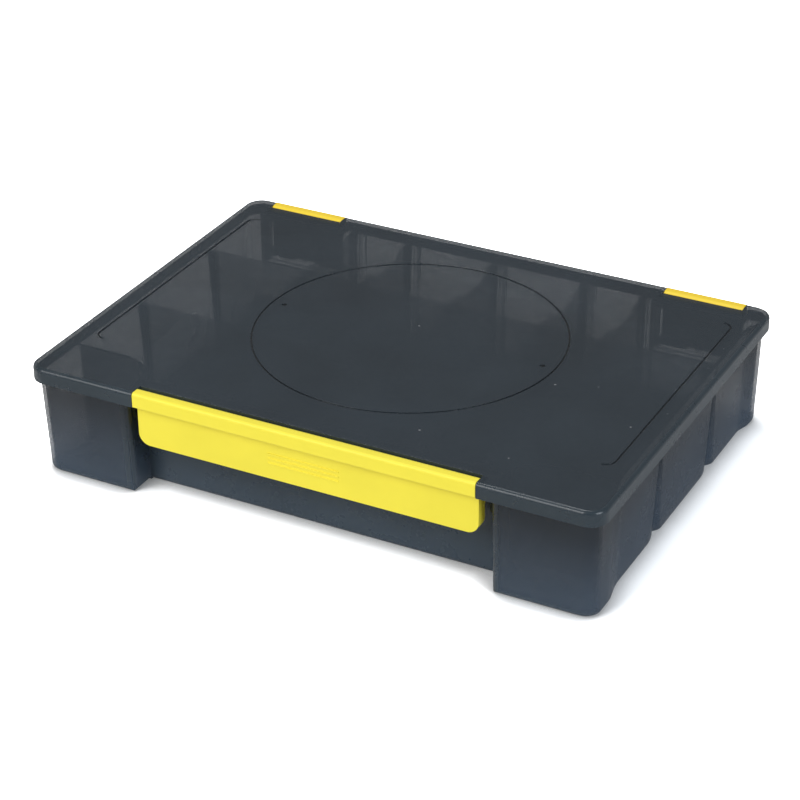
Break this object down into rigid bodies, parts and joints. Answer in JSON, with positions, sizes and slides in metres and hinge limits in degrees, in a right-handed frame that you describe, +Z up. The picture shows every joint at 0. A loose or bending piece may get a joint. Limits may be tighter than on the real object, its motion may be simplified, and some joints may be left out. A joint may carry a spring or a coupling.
{
  "type": "compartment tackle box",
  "caption": "Shallow smoke-tinted compartment box for small tackle, with a lid on rear clips, a full-front pull-down latch and lift-out dividers.",
  "frame": {"origin": "centre of the base, on the surface the box stands on", "axes": "+X to the right along the length, the latch side faces -Y, +Z up"},
  "size_m": [0.355, 0.256, 0.07],
  "materials": {
    "smoke": "satin translucent smoke-grey moulding",
    "clear_smoke": "satin translucent smoke-grey sheet moulding",
    "yellow": "satin opaque bright yellow moulding"
  },
  "bodies": {
    "tray": {"tray": "smoke", "row_wall_front": "clear_smoke", "row_wall_rear": "clear_smoke", "divider_front_1": "clear_smoke", "divider_front_2": "clear_smoke", "divider_front_3": "clear_smoke", "divider_front_4": "clear_smoke", "divider_front_5": "clear_smoke", "divider_middle_1": "clear_smoke", "divider_middle_2": "clear_smoke", "divider_middle_3": "clear_smoke", "divider_middle_4": "clear_smoke", "divider_middle_5": "clear_smoke", "divider_rear_1": "clear_smoke", "divider_rear_2": "clear_smoke", "divider_rear_3": "clear_smoke", "divider_rear_4": "clear_smoke", "divider_rear_5": "clear_smoke"},
    "lid": {"lid": "smoke", "hinge_clip_left": "yellow", "hinge_clip_right": "yellow"},
    "latch": {"front_latch": "yellow"}
  },
  "joints": [
    {"name": "lid_hinge", "type": "hinge", "parent": "tray", "child": "lid", "pos_m": [0, 0.1198, 0.0388], "axis": [-1, 0, 0], "range_deg": [0, 120]},
    {"name": "latch_hinge", "type": "hinge", "parent": "lid", "child": "latch", "pos_m": [0, -0.1234, 0.0656], "axis": [-1, 0, 0], "range_deg": [0, 95]}
  ]
}
